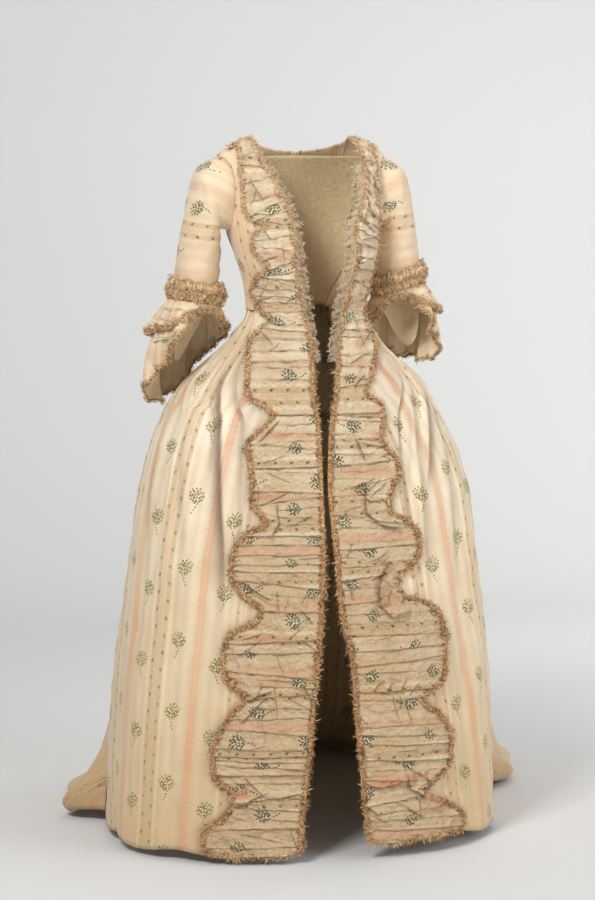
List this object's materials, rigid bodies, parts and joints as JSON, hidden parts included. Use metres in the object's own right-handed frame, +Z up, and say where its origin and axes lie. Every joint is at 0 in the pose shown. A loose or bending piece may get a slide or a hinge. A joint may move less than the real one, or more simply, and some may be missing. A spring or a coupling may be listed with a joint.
{
  "type": "robe à la française",
  "caption": "Open-front eighteenth-century gown with pleated sack back and train, ruched serpentine robings and flounced elbow sleeves, hollow as worn.",
  "frame": {"origin": "between the shoulder straps at the base of the neck, where the wearer carries the gown", "axes": "+Z up, -Y towards the gown's open front, +X towards the wearer's left; the floor is at Z = -1.37 m"},
  "size_m": [1.0247, 1.0686, 1.3694],
  "materials": {
    "silk_cloth": "ribbed ivory silk, faded, with salmon stripes and small brocaded flower sprays",
    "trim_cloth": "the same ribbed silk turned crosswise and gathered",
    "fly_fringe_cloth": "knotted silk fly fringe in brown, olive and pink",
    "net_cloth": "greyish tan gathered silk net",
    "linen_cloth": "plain tan linen"
  },
  "bodies": {
    "root": {"back_lining": "linen_cloth", "bodice_front_L": "silk_cloth", "bodice_front_R": "silk_cloth", "cuff_ruche_L": "trim_cloth", "cuff_ruche_R": "trim_cloth", "flounce_lower_L": "silk_cloth", "flounce_lower_R": "silk_cloth", "flounce_upper_L": "silk_cloth", "flounce_upper_R": "silk_cloth", "fringe_bodice_L": "fly_fringe_cloth", "fringe_bodice_R": "fly_fringe_cloth", "fringe_lower_L": "fly_fringe_cloth", "fringe_lower_R": "fly_fringe_cloth", "fringe_opening_L": "fly_fringe_cloth", "fringe_opening_R": "fly_fringe_cloth", "fringe_skirt_L": "fly_fringe_cloth", "fringe_skirt_R": "fly_fringe_cloth", "fringe_upper_L": "fly_fringe_cloth", "fringe_upper_R": "fly_fringe_cloth", "net_frill_L": "net_cloth", "net_frill_R": "net_cloth", "robing_bodice_L": "trim_cloth", "robing_bodice_R": "trim_cloth", "robing_skirt_L": "trim_cloth", "robing_skirt_R": "trim_cloth", "sack_back": "silk_cloth", "skirt_front_L": "silk_cloth", "skirt_front_R": "silk_cloth", "sleeve_L": "silk_cloth", "sleeve_R": "silk_cloth"}
  },
  "joints": []
}
